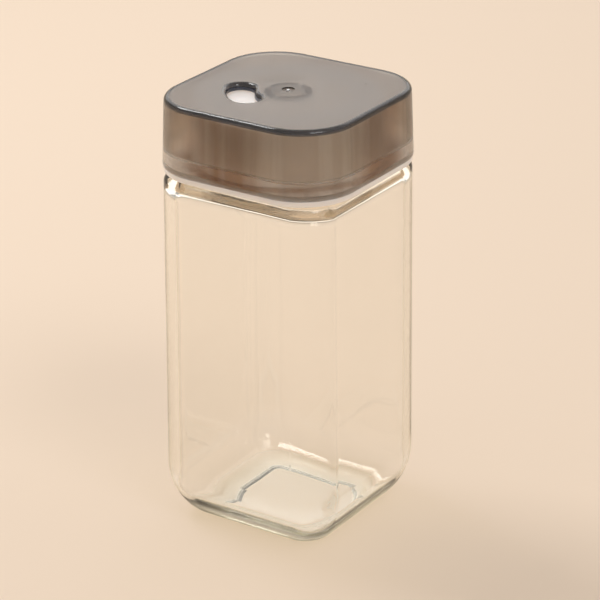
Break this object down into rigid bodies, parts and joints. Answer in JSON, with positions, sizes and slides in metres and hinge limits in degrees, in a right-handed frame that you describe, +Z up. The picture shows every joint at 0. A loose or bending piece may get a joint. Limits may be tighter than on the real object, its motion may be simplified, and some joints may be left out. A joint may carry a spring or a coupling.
{
  "type": "spice jar",
  "caption": "Square glass spice jar with a push-on smoke-coloured cap: a dial with one curved window turns over a white plate with pour, shake, fine and closed stations.",
  "frame": {"origin": "centre of the jar's foot, on the surface that it stands on", "axes": "+Z up along the jar's axis; X and Y along the sides; the window of the dial lies towards -X and -Y at rest"},
  "size_m": [0.06, 0.06, 0.1284],
  "materials": {
    "clear_glass": "clear, slightly green at thick edges",
    "natural_plastic": "satin natural white",
    "silicone": "soft matt white",
    "smoke_plastic_clear": "clear smoke, polished",
    "smoke_plastic": "smoke, fine satin top, polished rim"
  },
  "bodies": {
    "jar": {"glass_jar": "clear_glass"},
    "cap": {"inner_cap": "natural_plastic", "sealing_ring": "silicone", "collar_ring": "smoke_plastic_clear"},
    "dial": {"dial_cover": "smoke_plastic"}
  },
  "joints": [
    {"name": "cap_lift", "type": "slide", "parent": "jar", "child": "cap", "axis": [0, 0, 1], "range_m": [0, 0.03]},
    {"name": "dial_turn", "type": "hinge", "parent": "cap", "child": "dial", "pos_m": [0, 0, 0.125], "axis": [0, 0, 1], "continuous": true}
  ]
}
